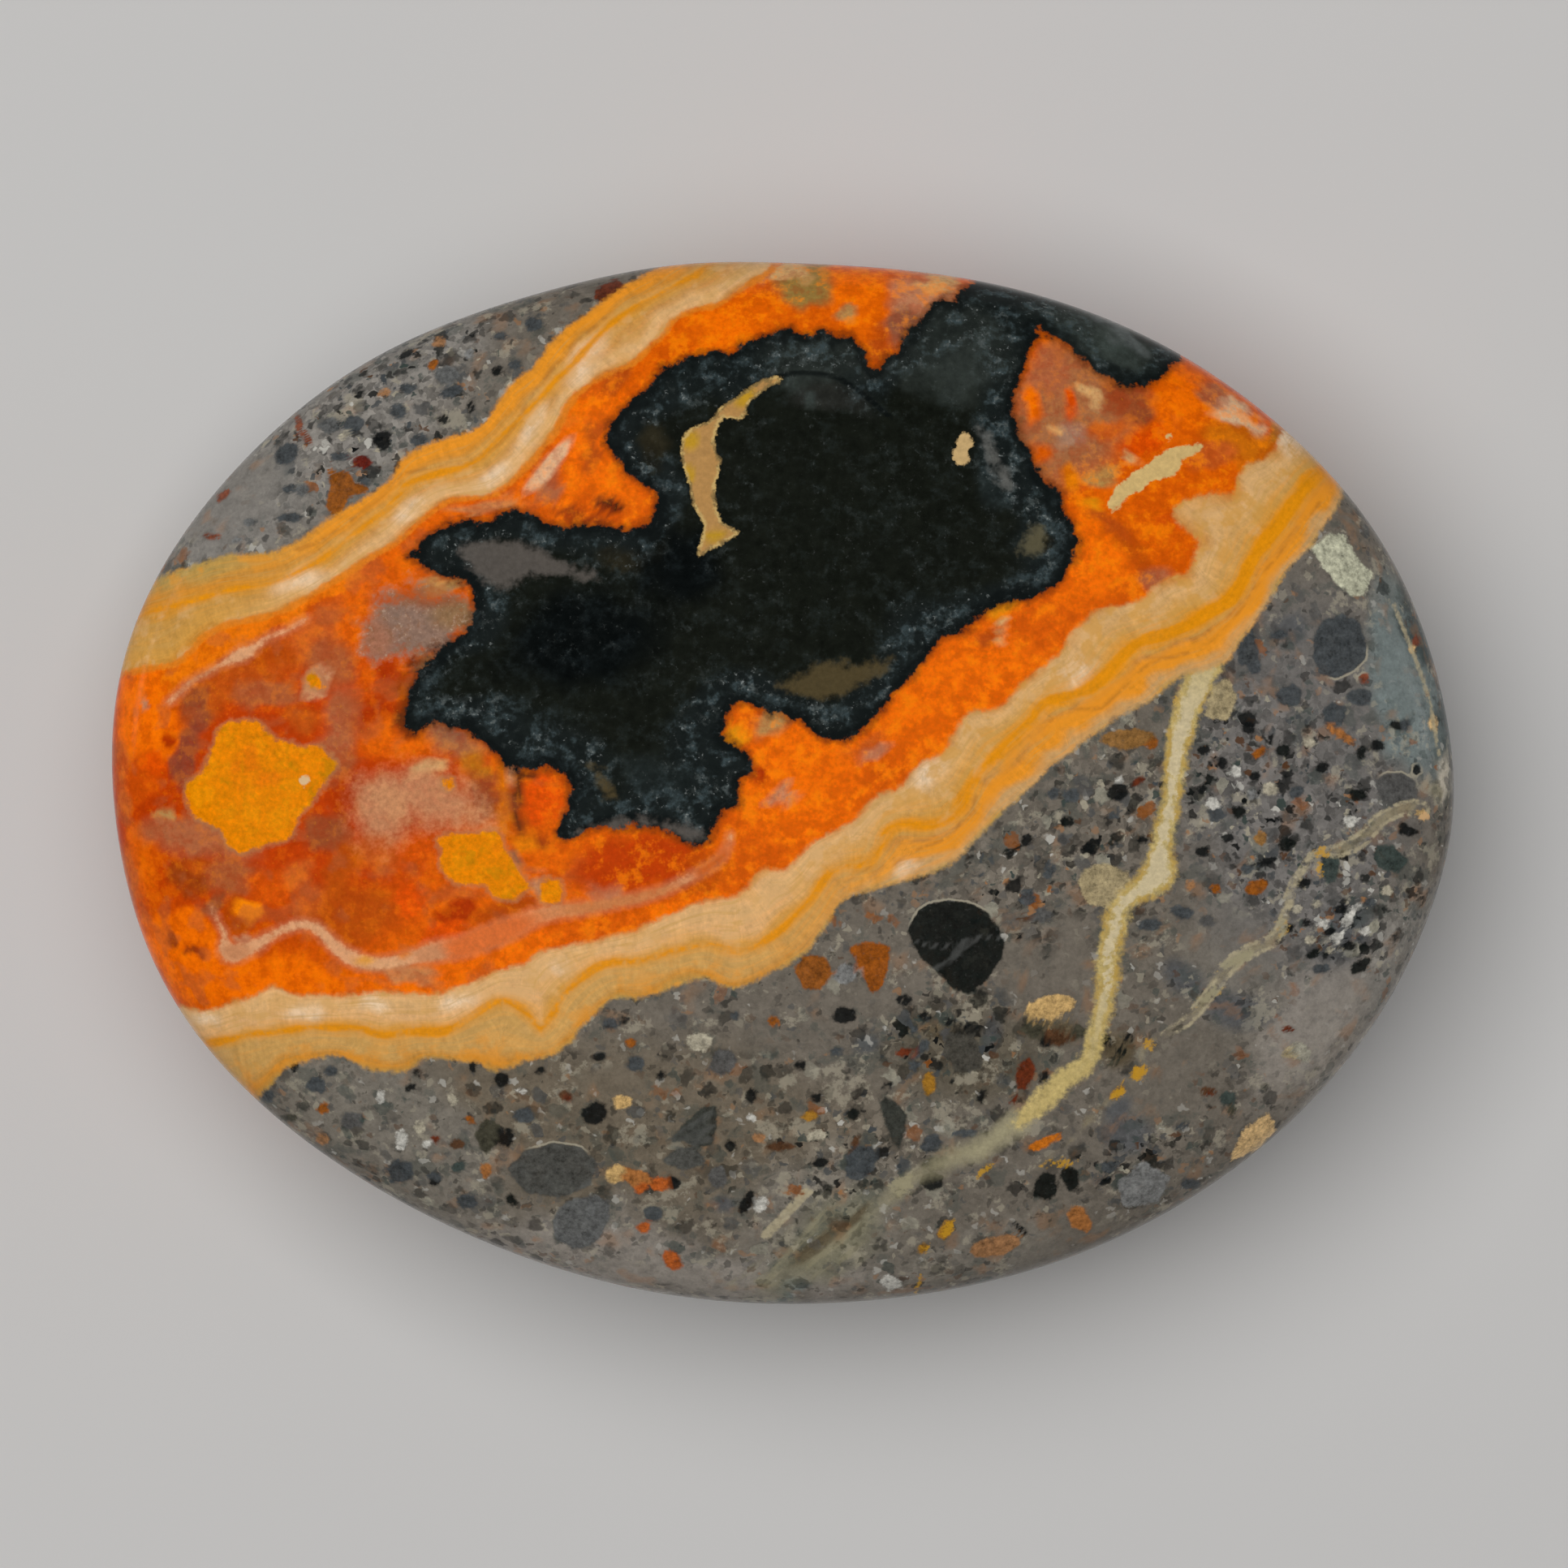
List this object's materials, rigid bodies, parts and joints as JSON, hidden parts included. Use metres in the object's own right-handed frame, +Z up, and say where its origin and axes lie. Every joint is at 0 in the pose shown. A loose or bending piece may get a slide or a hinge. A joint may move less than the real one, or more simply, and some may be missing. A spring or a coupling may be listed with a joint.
{
  "type": "palm stone",
  "caption": "Flattened oval polished stone of orange, cream, black and grey bumblebee jasper, held in the palm or laid on a surface as an ornament",
  "frame": {"origin": "on the surface that the stone rests on, under the middle of its bounding box", "axes": "X along the long side, Y across it, Z up through the thickness; the patterned face looks up"},
  "size_m": [0.066, 0.0512, 0.021],
  "materials": {
    "polished_jasper": "polished bumblebee jasper: orange, cream and gold vein with a black crystalline body, in grey-brown volcanic breccia"
  },
  "bodies": {
    "root": {"palm_stone": "polished_jasper"}
  },
  "joints": []
}
